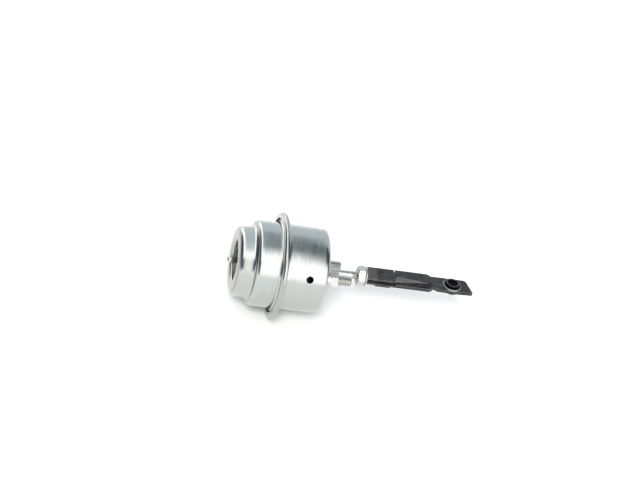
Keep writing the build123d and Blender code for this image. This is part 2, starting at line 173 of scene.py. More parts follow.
class NodeWriter:
    """Short calls that add nodes to a material's or a world's node tree."""

    def __init__(self, tree: bpy.types.NodeTree) -> None:
        """Empties the tree.

        Args:
            tree: the node tree to write.
        """
        self.tree = tree
        self.tree.nodes.clear()

    def link(self, output: Socket, target: Socket) -> None:
        """Joins two sockets."""
        self.tree.links.new(output, target)

    def feed(self, target: Socket, value: Value) -> None:
        """Gives a socket a constant, or joins it to another node's output.

        Args:
            target: the socket to feed.
            value: a number, a tuple of numbers or an output.
        """
        if isinstance(value, Socket):
            self.link(value, target)
        else:
            target.default_value = value

    def axes(self, vector: Socket) -> tuple[Socket, Socket, Socket]:
        """Splits a vector.

        Args:
            vector: the vector to split.

        Returns:
            Its X, Y and Z.
        """
        node = self.tree.nodes.new("ShaderNodeSeparateXYZ")
        self.link(vector, node.inputs["Vector"])
        return node.outputs["X"], node.outputs["Y"], node.outputs["Z"]

    def fitted(self, value: Socket, low: float, high: float, to_low: float, to_high: float) -> Socket:
        """Maps a value from one span to another, held at its ends.

        Args:
            value: the value to map.
            low: the span's start.
            high: the span's end.
            to_low: the result at low.
            to_high: the result at high.

        Returns:
            The mapped value.
        """
        node = self.tree.nodes.new("ShaderNodeMapRange")
        limits = {"From Min": low, "From Max": high, "To Min": to_low, "To Max": to_high}
        for name, limit in limits.items():
            node.inputs[name].default_value = limit
        self.link(value, node.inputs["Value"])
        return node.outputs["Result"]

    def between(self, value: Socket, rise: Span, fall: Span) -> Socket:
        """1 between two soft edges, and 0 outside them.

        Args:
            value: the value to test.
            rise: where the result leaves 0 and where it reaches 1.
            fall: where the result leaves 1 and where it is 0 again.

        Returns:
            The mask.
        """
        rising = self.fitted(value, *rise, 0, 1)
        return self.maths("MULTIPLY", rising, self.fitted(value, *fall, 1, 0))

    def maths(
        self, operation: str, first: Socket, second: Value = 0.0, kind: str = "ShaderNodeMath"
    ) -> Socket:
        """One sum on a value.

        Args:
            operation: the node's name for the sum, such as ADD.
            first: the first value.
            second: a second value or a constant, where the sum takes one.
            kind: the kind of node that does the sum.

        Returns:
            The result.
        """
        node = self.tree.nodes.new(kind)
        node.operation = operation
        self.link(first, node.inputs[0])
        self.feed(node.inputs[1], second)
        return node.outputs["Value"]

    def agreement(self, first: Socket, second: Value) -> Socket:
        """How far two directions agree: the cosine of the angle between them."""
        return self.maths("DOT_PRODUCT", first, second, kind="ShaderNodeVectorMath")

    def mixed(self, factor: Socket, first: Value, second: Value) -> Socket:
        """A colour between two.

        Args:
            factor: 0 for the first and 1 for the second.
            first: the first colour, constant or made by other nodes.
            second: the second colour.

        Returns:
            The mixed colour.
        """
        node = self.tree.nodes.new("ShaderNodeMix")
        node.data_type = "RGBA"
        self.link(factor, node.inputs["Factor"])
        for place, colour in zip(MIX_COLOUR_INPUTS, (first, second)):
            self.feed(node.inputs[place], (*colour, 1.0) if isinstance(colour, tuple) else colour)
        return node.outputs[MIX_COLOUR_OUTPUT]

    def ramp(self, value: Socket, stops: Stops, low: float, high: float) -> Socket:
        """A colour ramp.

        Args:
            value: where the ramp is read.
            stops: values with their colours, in order.
            low: the least value.
            high: the greatest value.

        Returns:
            The ramp's colour.
        """
        node = self.tree.nodes.new("ShaderNodeValToRGB")
        elements = node.color_ramp.elements
        while len(elements) < len(stops):
            elements.new(position=1.0)
        for element, (place, colour) in zip(elements, stops):
            element.position = (place - low) / (high - low)
            element.color = (*colour, 1.0)
        self.link(self.fitted(value, low, high, 0, 1), node.inputs["Fac"])
        return node.outputs["Color"]


@dataclass(frozen=True)
class TonedRing:
    """A ring in another colour, in metres: painted shade in a gap or a bore, painted shade that darkens
    faces mirroring too much light, a painted highlight, or duller or worn plating.

    Attributes:
        inner: its inner radius.
        outer: its outer radius.
        start: where it starts along its axis.
        end: where it ends along its axis.
        soft: how wide its edges fade.
        colour: the colour that it lays on.
        strength: how much of that colour shows.
        roughness: how much rougher it makes bright plating.
        upright_at: where along the rod an upright ring stands, or None for one round the rod.
    """

    inner: float
    outer: float
    start: float
    end: float
    soft: float = 0.0006
    # Near black by default: the painted shade of a gap.
    colour: Colour = (0.012, 0.011, 0.01)
    strength: float = 1.0
    roughness: float = 0.4
    upright_at: float | None = None


class NodeMaterial(NodeWriter):
    """A material under construction, with the patterns that its finish needs."""

    BEVEL_SAMPLES = 4
    FLAT_COSINE = 0.98
    SHARP_COSINE = 0.8

    def __init__(self, name: str) -> None:
        """Starts a node tree with a principled shader on the output.

        Args:
            name: the material's name.
        """
        self.material = bpy.data.materials.new(name)
        self.material.use_nodes = True
        super().__init__(self.material.node_tree)
        self.shader = self.tree.nodes.new("ShaderNodeBsdfPrincipled")
        output = self.tree.nodes.new("ShaderNodeOutputMaterial")
        self.link(self.shader.outputs["BSDF"], output.inputs["Surface"])
        coordinates = self.tree.nodes.new("ShaderNodeTexCoord")
        self.object_space = coordinates.outputs["Object"]
        self.normal = coordinates.outputs["Normal"]

    def noise(
        self, scale: Point, place: Point = (0, 0, 0), detail: float = 3.0, roughness: float = 0.6
    ) -> Socket:
        """A noise pattern on the piece's own coordinates.

        Args:
            scale: how many pattern units fit a metre along each axis.
            place: the shift after scaling.
            detail: how many finer layers it has.
            roughness: how strong the finer layers are.

        Returns:
            The noise value, near 0.5.
        """
        mapping = self.tree.nodes.new("ShaderNodeMapping")
        mapping.inputs["Scale"].default_value = scale
        mapping.inputs["Location"].default_value = place
        self.link(self.object_space, mapping.inputs["Vector"])
        node = self.tree.nodes.new("ShaderNodeTexNoise")
        node.inputs["Scale"].default_value = 1.0
        node.inputs["Detail"].default_value = detail
        node.inputs["Roughness"].default_value = roughness
        self.link(mapping.outputs["Vector"], node.inputs["Vector"])
        return node.outputs["Fac"]

    def exposed_edges(self, radius: float) -> Socket:
        """1 where the surface turns sharply within a radius, and 0 on the flat.

        Args:
            radius: how far the search reaches, in metres.

        Returns:
            The mask.
        """
        bevel = self.tree.nodes.new("ShaderNodeBevel")
        bevel.samples = self.BEVEL_SAMPLES
        bevel.inputs["Radius"].default_value = radius
        geometry = self.tree.nodes.new("ShaderNodeNewGeometry")
        cosine = self.agreement(bevel.outputs["Normal"], geometry.outputs["Normal"])
        return self.fitted(cosine, self.FLAT_COSINE, self.SHARP_COSINE, 0.0, 1.0)

    def inside_ring(self, ring: TonedRing) -> Socket:
        """How much of a ring's colour shows: its strength inside it, and 0 away from it.

        Args:
            ring: the ring.

        Returns:
            The mask.
        """
        x, y, z = self.axes(self.object_space)
        along, across, depth = x, y, z
        if ring.upright_at is not None:
            along, across, depth = z, self.maths("SUBTRACT", x, ring.upright_at), y
        squares = (self.maths("MULTIPLY", side, side) for side in (across, depth))
        radius = self.maths("SQRT", self.maths("ADD", *squares))
        mask = None
        for value, low, high in ((radius, ring.inner, ring.outer), (along, ring.start, ring.end)):
            rise, fall = ((edge - ring.soft / 2, edge + ring.soft / 2) for edge in (low, high))
            inside = self.between(value, rise, fall)
            mask = self.maths("MULTIPLY", mask, inside) if mask else inside
        return self.maths("MULTIPLY", mask, ring.strength)

    def bump(self, height: Socket, depth: float, strength: float = 1.0) -> None:
        """Raises the surface by a height pattern.

        Args:
            height: the pattern, from 0 to 1.
            depth: how deep 1 is, in metres.
            strength: how much of it shows.
        """
        node = self.tree.nodes.new("ShaderNodeBump")
        node.inputs["Strength"].default_value = strength
        node.inputs["Distance"].default_value = depth
        self.link(height, node.inputs["Height"])
        self.link(node.outputs["Normal"], self.shader.inputs["Normal"])


@dataclass(frozen=True)
class BrightPlating:
    """Bright zinc plate or bare steel over fine lines that run round the rod's axis.

    Each tone and range reads a pattern between its first two values. A tone's last two say how
    much of the duller or warmer tint shows there.
    """

    name: str
    shade: PlatingShade
    roughness: float = 0.09
    roughness_spread: float = 0.04
    streak_roughness: float = 0.11
    cloud_roughness: float = 0.05
    lines_per_metre: float = 2600.0
    line_stretch: float = 0.012
    line_tone: Fit = (0.3, 0.75, 0.0, 0.16)
    line_range: Span = (0.25, 0.8)
    line_depth: float = 0.0000009
    streaks_per_metre: float = 520.0
    streak_stretch: float = 0.09
    streak_tone: Fit = (0.46, 0.66, 0.0, 0.24)
    streak_range: Span = (0.36, 0.66)
    clouds_per_metre: float = 70.0
    cloud_tone: Fit = (0.4, 0.62, 0.0, 0.8)
    cloud_range: Span = (0.35, 0.7)
    dulling: float = 0.84
    warming: Colour = (1.0, 0.985, 0.95)
    rings: tuple[TonedRing, ...] = ()

    def build(self) -> Material:
        """Makes the material.

        Returns:
            The material.
        """
        made = NodeMaterial(self.name)
        along = self.lines_per_metre * self.line_stretch
        lines = made.noise((self.lines_per_metre, along, along), detail=4.0, roughness=0.7)
        along = self.streaks_per_metre * self.streak_stretch
        streaks = made.noise((self.streaks_per_metre, along, along))
        clouds = made.noise((self.clouds_per_metre,) * 3, detail=4.0)
        tint = self.shade.value
        dull = tuple(channel * self.dulling for channel in tint)
        warm = tuple(channel * factor for channel, factor in zip(tint, self.warming))
        colour = made.mixed(made.fitted(lines, *self.line_tone), tint, dull)
        colour = made.mixed(made.fitted(streaks, *self.streak_tone), colour, dull)
        colour = made.mixed(made.fitted(clouds, *self.cloud_tone), colour, warm)
        roughest = self.roughness + self.roughness_spread
        rough = made.fitted(lines, *self.line_range, self.roughness, roughest)
        streaked = made.fitted(streaks, *self.streak_range, 0.0, self.streak_roughness)
        clouded = made.fitted(clouds, *self.cloud_range, 0.0, self.cloud_roughness)
        rough = made.maths("ADD", made.maths("ADD", rough, streaked), clouded)
        # Each ring lays its colour and some roughness over the plating; the shell's rings lay painted
        # shade.
        for ring in self.rings:
            mask = made.inside_ring(ring)
            colour = made.mixed(mask, colour, ring.colour)
            rough = made.maths("ADD", rough, made.fitted(mask, 0.0, 1.0, 0.0, ring.roughness))
        made.link(colour, made.shader.inputs["Base Color"])
        made.link(rough, made.shader.inputs["Roughness"])
        made.shader.inputs["Metallic"].default_value = 1.0
        made.bump(lines, self.line_depth)
        return made.material


@dataclass(frozen=True)
class BlackPhosphate:
    """Black phosphated steel, oily, with a painted sheen on faces turned to the front light and grey on
    its edges.

    Each tone and range reads a pattern between its first two values, and a tone's last two say
    how much of its colour shows there. A face gets a painted sheen, a lighter and more metallic
    colour standing in for the front light's highlight, as far as it looks the way of sheen_facing.
    handled_end is where the worn length next to the lock nut starts to fade and where it ends,
    along the rod in metres. metal is how metallic the coated steel, the painted sheen and the
    worn edges look.
    """

    name: str
    base: Colour = (0.011, 0.0105, 0.0115)
    dusty: Colour = (0.036, 0.035, 0.038)
    dust_tone: Fit = (0.4, 0.62, 0.0, 1.0)
    rust: Colour = (0.12, 0.06, 0.04)
    rust_range: Span = (0.26, 0.36)
    # Painted sheen: a lighter colour on faces turned to the front light, standing in for its highlight.
    painted_sheen: Colour = (0.13, 0.122, 0.118)
    sheen_facing: Point = (0.0, -0.66, 0.75)
    sheen_limits: Span = (0.93, 0.985)
    sheen_tone: Fit = (0.4, 0.62, 0.25, 1.0)
    handled: Colour = (0.07, 0.06, 0.057)
    handled_end: Span | None = None
    handled_ragged: Fit = (0.3, 0.7, -0.0004, 0.0004)
    handled_tone: Fit = (0.3, 0.6, 0.35, 0.9)
    worn: Colour = (0.42, 0.41, 0.4)
    wear: float = 0.8
    wear_radius: float = 0.0007
    wear_range: Span = (0.42, 0.6)
    least_wear: float = 0.12
    metal: Span = (0.3, 1.0)
    gloss: float = 0.3
    roughness: Span = (0.26, 0.5)
    roughness_range: Span = (0.35, 0.7)
    grains_per_metre: float = 2200.0
    grain_depth: float = 0.00003
    grain_strength: float = 0.5
    patches_per_metre: Point = (190, 300, 300)
    streaks_per_metre: Point = (170, 1300, 1300)
    streak_place: Point = (3, 1, 2)
    rings: tuple[TonedRing, ...] = ()

    def build(self) -> Material:
        """Makes the material.

        Returns:
            The material.
        """
        made = NodeMaterial(self.name)
        grain = made.noise((self.grains_per_metre,) * 3, detail=5.0, roughness=0.65)
        patches = made.noise(self.patches_per_metre, detail=5.0)
        streaks = made.noise(self.streaks_per_metre, self.streak_place, detail=4.0)
        colour = made.mixed(made.fitted(patches, *self.dust_tone), self.base, self.dusty)
        colour = made.mixed(made.fitted(streaks, *self.rust_range, 0.0, 1.0), self.rust, colour)
        if self.handled_end:
            colour = made.mixed(self.handled_length(made, grain), colour, self.handled)
        # Painted sheen: faces turned to the front light are lightened as if lit.
        facing = made.agreement(made.normal, self.sheen_facing)
        sheen = made.fitted(facing, *self.sheen_limits, 0.0, 1.0)
        sheen = made.maths("MULTIPLY", sheen, made.fitted(streaks, *self.sheen_tone))
        colour = made.mixed(sheen, colour, self.painted_sheen)
        wear = made.fitted(grain, *self.wear_range, self.least_wear * self.wear, self.wear)
        wear = made.maths("MULTIPLY", made.exposed_edges(self.wear_radius), wear)
        colour = made.mixed(wear, colour, self.worn)
        metal = made.maths("MAXIMUM", sheen, wear)
        # The rings lay painted shade or a painted highlight, and make the steel there metallic.
        for ring in self.rings:
            mask = made.inside_ring(ring)
            colour = made.mixed(mask, colour, ring.colour)
            metal = made.maths("MAXIMUM", metal, mask)
        made.link(colour, made.shader.inputs["Base Color"])
        made.link(made.fitted(metal, 0.0, 1.0, *self.metal), made.shader.inputs["Metallic"])
        rough = made.fitted(patches, *self.roughness_range, *self.roughness)
        made.link(rough, made.shader.inputs["Roughness"])
        made.shader.inputs["Specular IOR Level"].default_value = self.gloss
        made.bump(grain, self.grain_depth, self.grain_strength)
        return made.material

    def handled_length(self, made: NodeMaterial, grain: Socket) -> Socket:
        """How worn the length next to the lock nut is, with a ragged end.

        Args:
            made: the material under construction.
            grain: the fine pattern that breaks up the worn length.

        Returns:
            The mask.
        """
        along = made.axes(made.object_space)[0]
        ragged = made.maths("ADD", along, made.fitted(grain, *self.handled_ragged))
        length = made.fitted(ragged, *self.handled_end, 1.0, 0.0)
        return made.maths("MULTIPLY", length, made.fitted(grain, *self.handled_tone))


@dataclass(frozen=True)
class MattRubber:
    """Matt black rubber with a faint bloom."""

    name: str
    base: Colour = (0.022, 0.022, 0.023)
    bloom: Colour = (0.06, 0.06, 0.062)
    bloom_tone: Fit = (0.4, 0.7, 0.0, 1.0)
    roughness: float = 0.62
    grains_per_metre: float = 900.0
    grain_depth: float = 0.00003
    grain_strength: float = 0.6

    def build(self) -> Material:
        """Makes the material.

        Returns:
            The material.
        """
        made = NodeMaterial(self.name)
        grain = made.noise((self.grains_per_metre,) * 3, detail=4.0)
        colour = made.mixed(made.fitted(grain, *self.bloom_tone), self.base, self.bloom)
        made.link(colour, made.shader.inputs["Base Color"])
        made.shader.inputs["Roughness"].default_value = self.roughness
        made.bump(grain, self.grain_depth, self.grain_strength)
        return made.material


@dataclass(frozen=True)
class ThreadedPiece:
    """A CAD node with a real helical thread cut into its free end.

    Attributes:
        node: the CAD node.
        body: the body that the piece rides on.
        start: where the thread starts along the rod's axis.
        end: where it ends.
        radius: its crest radius.
        pitch: how far one turn advances.
        segments: the steps of one turn.
        crest_overcut: how far the cutter stands out of the crest.
        depth_of_pitch: the thread's depth as a share of the pitch.
        half_flank_degrees: half the angle between its flanks.
        smooth_degrees: the sharpest turn that still counts as a curve.
    """

    node: str
    body: str
    start: float
    end: float
    radius: float
    pitch: float
    segments: int = 40
    crest_overcut: float = 0.00005
    depth_of_pitch: float = 0.6134
    half_flank_degrees: float = 30.0
    smooth_degrees: float = 32.0

    def build(self, nodes: Nodes) -> Piece:
        """Cuts the thread into a copy of the node, which the copy then replaces.

        Args:
            nodes: the frame's CAD nodes by name.

        Returns:
            The threaded piece.
        """
        low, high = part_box(self.node)
        centre = ((low.y + high.y) / 2, (low.z + high.z) / 2)
        piece = copied(nodes, self.node, "threaded")
        bpy.ops.mesh.customdata_custom_splitnormals_clear()
        cut_away(piece, self.groove(centre), self.smooth_degrees)
        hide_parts(self.node)
        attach(piece, self.body)
        return piece

    def groove(self, centre: tuple[float, float]) -> Piece:
        """Winds the groove's section into the solid that cuts the thread.

        Args:
            centre: the thread's axis, as Y and Z.

        Returns:
            The cutting solid.
        """
        deselect()
        root = self.radius - self.depth_of_pitch * self.pitch
        crest = self.radius + self.crest_overcut
        half = (crest - root) * math.tan(math.radians(self.half_flank_degrees))
        corners = ((self.start - half, crest), (self.start + half, crest), (self.start, root))
        bpy.ops.mesh.primitive_circle_add(
            vertices=len(corners), radius=SECTION_SIZE, location=(0, *centre)
        )
        cutter = bpy.context.object
        for vertex, (along, out) in zip(cutter.data.vertices, corners):
            vertex.co = (along, 0, out)
        screw = cutter.modifiers.new("winding", "SCREW")
        screw.axis = "X"
        screw.screw_offset = self.pitch
        screw.iterations = math.ceil((self.end - self.start) / self.pitch) + 1
        screw.steps = self.segments
        screw.render_steps = self.segments
        bpy.ops.object.modifier_apply(modifier=screw.name)
        bpy.ops.object.mode_set(mode="EDIT")
        bpy.ops.mesh.select_all(action="SELECT")
        bpy.ops.mesh.remove_doubles(threshold=MERGE_DISTANCE)
        bpy.ops.mesh.fill_holes(sides=len(corners))
        bpy.ops.mesh.select_all(action="SELECT")
        bpy.ops.mesh.normals_make_consistent(inside=False)
        bpy.ops.object.mode_set(mode="OBJECT")
        bpy.ops.object.transform_apply(location=True, rotation=True, scale=True)
        return cutter


@dataclass(frozen=True)
class TurnedPiece:
    """A piece turned about the rod's axis from a rounded outline, in millimetres.

    Attributes:
        node: the CAD node that the piece replaces.
        body: the body that it rides on.
        slot: the name of a material slot; not used.
        corners: the outline as distance along the axis, radius and rounding.
        sheet_side: the side that a sheet lies on, 1 or -1, or 0 for a closed outline.
        sheet: the sheet's thickness.
        steps: the steps of the turn.
        run: the longest straight step.
        arc_degrees: the longest step round a corner.
        smooth_degrees: the sharpest turn that still counts as a curve.
    """

    node: str
    body: str
    slot: str
    corners: tuple[Point, ...]
    sheet_side: float = 0.0
    sheet: float = 1.0
    steps: int = 224
    run: float = 1.6
    arc_degrees: float = 7.5
    smooth_degrees: float = 34.0

    def skin(self) -> list[Vector]:
        """Rounds the outline's corners and divides its straight runs.

        Returns:
            Points as distance along the axis and radius.
        """
        places = [Vector(corner[:2]) for corner in self.corners]
        rounded: list[list[Vector]] = []
        for index, (place, (_, _, radius)) in enumerate(zip(places, self.corners)):
            before = (places[index - 1] - place).normalized()
            after = (places[(index + 1) % len(places)] - place).normalized()
            rounded.append(self.arc(place, before, after, radius) if radius else [place])
        points: list[Vector] = []
        following = rounded[1:] + ([] if self.sheet_side else rounded[:1])
        for index, bend in enumerate(rounded):
            points += bend
            if index < len(following):
                start, end = bend[-1], following[index][0]
                pieces = max(1, math.ceil((end - start).length / self.run))
                points += [start.lerp(end, step / pieces) for step in range(1, pieces)]
        return points

    def arc(self, place: Vector, before: Vector, after: Vector, radius: float) -> list[Vector]:
        """The arc that rounds one corner.

        Args:
            place: the corner.
            before: the direction back along the outline.
            after: the direction onwards.
            radius: the rounding.

        Returns:
            The arc's points in order.
        """
        half = before.angle(after) / 2
        reach = radius / math.tan(half)
        centre = place + (before + after).normalized() * radius / math.sin(half)
        start = place + before * reach - centre
        end = place + after * reach - centre
        sweep = start.angle(end)
        pieces = max(2, math.ceil(math.degrees(sweep) / self.arc_degrees))
        turns = (step / pieces for step in range(pieces + 1))
        return [
            centre + (start * math.sin((1 - t) * sweep) + end * math.sin(t * sweep)) / math.sin(sweep)
            for t in turns
        ]

    def section(self) -> list[Vector]:
        """Closes the outline into a section, with the sheet's other side where it has one.

        Returns:
            The section's points.
        """
        skin = self.skin()
        if not self.sheet_side:
            return skin
        back = []
        for index, point in enumerate(skin):
            along = (skin[min(index + 1, len(skin) - 1)] - skin[max(index - 1, 0)]).normalized()
            back.append(point + self.sheet_side * self.sheet * Vector((along.y, -along.x)))
        return skin + back[::-1]

    def build(self) -> Piece:
        """Spins the section and puts the piece in its node's place.

        Returns:
            The turned piece.
        """
        section = self.section()
        deselect()
        bpy.ops.mesh.primitive_circle_add(vertices=len(section), radius=SECTION_SIZE)
        piece = bpy.context.object
        piece.name = f"{self.node}_turned"
        for vertex, point in zip(piece.data.vertices, section):
            vertex.co = (point.x * MM, point.y * MM, 0)
        bpy.ops.object.mode_set(mode="EDIT")
        bpy.ops.mesh.select_all(action="SELECT")
        bpy.ops.mesh.spin(steps=self.steps, angle=math.tau, center=(0, 0, 0), axis=(1, 0, 0))
        bpy.ops.mesh.select_all(action="SELECT")
        bpy.ops.mesh.remove_doubles(threshold=MERGE_DISTANCE)
        bpy.ops.mesh.normals_make_consistent(inside=False)
        bpy.ops.object.mode_set(mode="OBJECT")
        bpy.ops.object.shade_smooth_by_angle(angle=math.radians(self.smooth_degrees))
        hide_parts(self.node)
        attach(piece, self.body)
        return piece


@dataclass(frozen=True)
class FlexingPiece:
    """A sealed piece between the canister and the rod.

    Attributes:
        node: the CAD node that the piece replaces.
        slot: the name of a material slot; not used.
        held_from: up to where along the rod's axis it would stay with the canister; not used.
        moves_from: from where on it would move fully with the rod; not used.
    """

    node: str
    slot: str
    held_from: float
    moves_from: float

    def build(self, nodes: Nodes, material: Material) -> Piece:
        """Copies the node, gives the copy its finish and hides the node.

        Args:
            nodes: the frame's CAD nodes by name.
            material: the finish.

        Returns:
            The flexing piece.
        """
        piece = copied(nodes, self.node, "flexing")
        dress_piece(piece, material)
        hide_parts(self.node)
        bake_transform(piece)
        return piece


@dataclass(frozen=True)
class DomeShell:
    """The dome: a flange under the crimp, a shoulder and a recessed nose, in millimetres outside."""

    flange_face: float = -35.4
    rim_radius: float = 30.8
    shoulder_length: float = 15.3
    shoulder_radius: float = 26.3
    shoulder_foot_round: float = 1.5
    shoulder_round: float = 2.2
    nose_length: float = 10.5
    nose_radius: float = 21.0
    nose_spread: float = 1.2
    nose_foot_round: float = 2.2
    nose_round: float = 3.2
    recess_depth: float = 7.0
    recess_radius: float = 12.2
    recess_mouth_round: float = 1.5
    recess_foot_round: float = 2.2
    nipple_hole_radius: float = 1.9

    def build(self) -> Piece:
        """Turns the dome from the nipple's hole to its rim.

        Returns:
            The dome.
        """
        shoulder = self.flange_face - self.shoulder_length
        nose = shoulder - self.nose_length
        recess = nose + self.recess_depth
        corners = (
            (recess, self.nipple_hole_radius, 0),
            (recess, self.recess_radius, self.recess_foot_round),
            (nose, self.recess_radius, self.recess_mouth_round),
            (nose, self.nose_radius, self.nose_round),
            (shoulder, self.nose_radius + self.nose_spread, self.nose_foot_round),
            (shoulder, self.shoulder_radius, self.shoulder_round),
            (self.flange_face, self.shoulder_radius, self.shoulder_foot_round),
            (self.flange_face, self.rim_radius, 0),
        )
        return TurnedPiece("dome_shell", "canister", "zinc_shell", corners, sheet_side=1.0).build()


@dataclass(frozen=True)
class CupShell:
    """The cup: a face, a slightly crowned wall and a flange rolled over, in millimetres outside.

    The vent and the two studs stand on one line across the rod's axis, clocked up from the front.
    """

    face: float = -6.5
    guide_hole_radius: float = 4.1
    wall_length: float = 26.2
    wall_radius: float = 26.2
    wall_crown: float = 0.3
    wall_pieces: int = 4
    face_round: float = 2.8
    foot_round: float = 1.3
    crimp_radius: float = 32.59
    crimp_width: float = 3.7
    crimp_round: float = 1.75
    lip_radius: float = 29.0
    sheet: float = 1.0
    clocking_degrees: float = 23.0
    vent_from_face: float = 11.5
    vent_radius: float = 2.25
    stud_circle_radius: float = 18.0
    stud_hole_radius: float = 2.8
    hole_reach: float = 6.0
    hole_sides: int = 56

    def build(self) -> Piece:
        """Turns the cup from its guide hole to the lip of the crimp, and bores its holes.

        Returns:
            The cup.
        """
        foot = self.face - self.wall_length
        crimp = foot - self.crimp_width
        wall = []
        for step in range(1, self.wall_pieces):
            left = 1 - step / self.wall_pieces
            radius = self.wall_radius - self.wall_crown * left**2
            wall.append((foot + left * self.wall_length, radius, 0))
        corners = (
            (self.face, self.guide_hole_radius, 0),
            (self.face, self.wall_radius - self.wall_crown, self.face_round),
            *wall,
            (foot, self.wall_radius, self.foot_round),
            (foot, self.crimp_radius, self.crimp_round),
            (crimp, self.crimp_radius, self.crimp_round),
            (crimp, self.lip_radius, 0),
        )
        turned = TurnedPiece(
            "cup_shell", "canister", "zinc_shell", corners, sheet_side=-1.0, sheet=self.sheet
        )
        cup = turned.build()
        middle = self.sheet / 2
        upright_to_front = math.radians(90.0 - self.clocking_degrees)
        vent = self.place(self.face - self.vent_from_face, self.wall_radius - middle)
        holes = [(vent, (upright_to_front, 0.0, 0.0), self.vent_radius)]
        for radius in (self.stud_circle_radius, -self.stud_circle_radius):
            stud = self.place(self.face - middle, radius)
            holes.append((stud, (0.0, math.radians(90.0), 0.0), self.stud_hole_radius))
        for place, turn, radius in holes:
            self.bore(cup, place, turn, radius, turned.smooth_degrees)
        return cup

    def place(self, along: float, radius: float) -> Point:
        """A place on the line through the vent and the studs.

        Args:
            along: its distance along the rod's axis.
            radius: its distance from that axis, less than 0 behind it.

        Returns:
            The place.
        """
        clocking = math.radians(self.clocking_degrees)
        return (along, -radius * math.cos(clocking), radius * math.sin(clocking))

    def bore(self, cup: Piece, place: Point, turn: Point, radius: float, smooth_degrees: float) -> None:
        """Cuts a round hole through the cup.

        Args:
            cup: the turned cup.
            place: the hole's middle.
            turn: the hole's turn from upright, in radians.
            radius: the hole's radius.
            smooth_degrees: the sharpest turn that still counts as a curve.
        """
        deselect()
        bpy.ops.mesh.primitive_cylinder_add(
            vertices=self.hole_sides,
            radius=radius * MM,
            depth=self.hole_reach * MM,
            location=tuple(distance * MM for distance in place),
            rotation=turn,
        )
        cutter = bpy.context.object
        bpy.ops.object.transform_apply(location=True, rotation=True, scale=True)
        cut_away(cup, cutter, smooth_degrees)


@dataclass(frozen=True)
class HoseNipple:
    """The pressed nipple: a beaded tip, a shank and a foot inside the recess, in millimetres."""

    tip: float = -65.2
    tip_radius: float = 2.1
    tip_round: float = 1.1
    bead_length: float = 2.9
    bead_radius: float = 2.15
    bead_round: float = 0.6
    bead_taper: float = 0.4
    shank_radius: float = 1.85
    shank_round: float = 0.5
    foot: float = -53.2
    foot_radius: float = 3.4
    foot_thickness: float = 1.2
    foot_round: float = 0.3
    foot_corner_round: float = 0.1
    bore_radius: float = 0.95
    bore_round: float = 0.15
    steps: int = 64
    run: float = 0.6
    arc_degrees: float = 18.0

    def build(self) -> Piece:
        """Turns the nipple from its tip to its foot.

        Returns:
            The nipple.
        """
        bead_end = self.tip + self.bead_length
        back = self.foot + self.foot_thickness
        corners = (
            (self.tip, self.bore_radius, self.bore_round),
            (self.tip, self.tip_radius, self.tip_round),
            (bead_end, self.bead_radius, self.bead_round),
            (bead_end + self.bead_taper, self.shank_radius, self.shank_round),
            (self.foot, self.shank_radius, self.foot_corner_round),
            (self.foot, self.foot_radius, self.foot_round),
            (back, self.foot_radius, self.foot_round),
            (back, self.bore_radius, self.foot_corner_round),
        )
        return TurnedPiece(
            "hose_nipple", "canister", "zinc_hardware", corners,
            steps=self.steps, run=self.run, arc_degrees=self.arc_degrees,
        ).build()


@dataclass(frozen=True)
class Canister:
    """The two crimped shells, the hose nipple and the sealed pieces inside.

    The shells' rings are painted shade in the gap under the crimp's lip, and the nose face,
    shoulder step and crimp, made a little rougher and darkened with painted shade.
    """

    shell_finish: BrightPlating = BrightPlating(
        "shell_plating",
        PlatingShade.SHELL,
        rings=(
            # Painted shade: the gap under the crimp's lip is laid near black.
            TonedRing(inner=0.0281, outer=0.0296, start=-0.036, end=-0.035),
            # Nose face, shoulder step and crimp: a little rougher, and darkened as painted shade that
            # dims what they mirror.
            TonedRing(
                inner=0.0126, outer=0.0204, start=-0.0622, end=-0.0598, soft=0.0012,
                colour=(0.33, 0.315, 0.31), strength=0.9, roughness=0.06,
            ),
            TonedRing(
                inner=0.0226, outer=0.0252, start=-0.0514, end=-0.0498, soft=0.0008,
                colour=(0.31, 0.31, 0.3), strength=0.8, roughness=0.06,
            ),
            TonedRing(
                inner=0.0296, outer=0.0334, start=-0.0374, end=-0.0318, soft=0.001,
                colour=(0.4, 0.4, 0.385), strength=0.7, roughness=0.05,
            ),
        ),
    )
    nipple_finish: BrightPlating = BrightPlating(
        "nipple_plating", PlatingShade.HARDWARE, roughness=0.1, streak_roughness=0.03
    )
    inner_finish: BrightPlating = BrightPlating(
        "inner_steel", PlatingShade.PLAIN_STEEL, roughness=0.3, lines_per_metre=1500.0
    )
    spring_finish: BrightPlating = BrightPlating(
        "spring_wire", PlatingShade.SPRING_WIRE, roughness=0.32, lines_per_metre=900.0
    )
    rubber: MattRubber = MattRubber("black_rubber")
    dome: DomeShell = DomeShell()
    cup: CupShell = CupShell()
    nipple: HoseNipple = HoseNipple()
    spring: FlexingPiece = FlexingPiece(
        "return_spring", "spring_steel", held_from=-0.0602, moves_from=-0.0177
    )
    diaphragm: FlexingPiece = FlexingPiece(
        "diaphragm", "black_rubber", held_from=-0.0334, moves_from=-0.0178
    )
    inner: tuple[str, ...] = (
        "stud_plate", "rod_guide", "backing_plate", "piston_cup", "rivet_washer",
    )
    bumper: str = "stop_bumper"

    def dress(self, nodes: Nodes) -> None:
        """Builds the shells, the nipple and the flexing pieces, and gives each piece its finish.

        Args:
            nodes: the frame's CAD nodes by name.
        """
        plating = self.shell_finish.build()
        for shell in (self.dome, self.cup):
            dress_piece(shell.build(), plating)
        dress_piece(self.nipple.build(), self.nipple_finish.build())
        dress_nodes(nodes, self.inner, self.inner_finish.build())
        rubber = self.rubber.build()
        self.spring.build(nodes, self.spring_finish.build())
        self.diaphragm.build(nodes, rubber)
        dress_nodes(nodes, (self.bumper,), rubber)


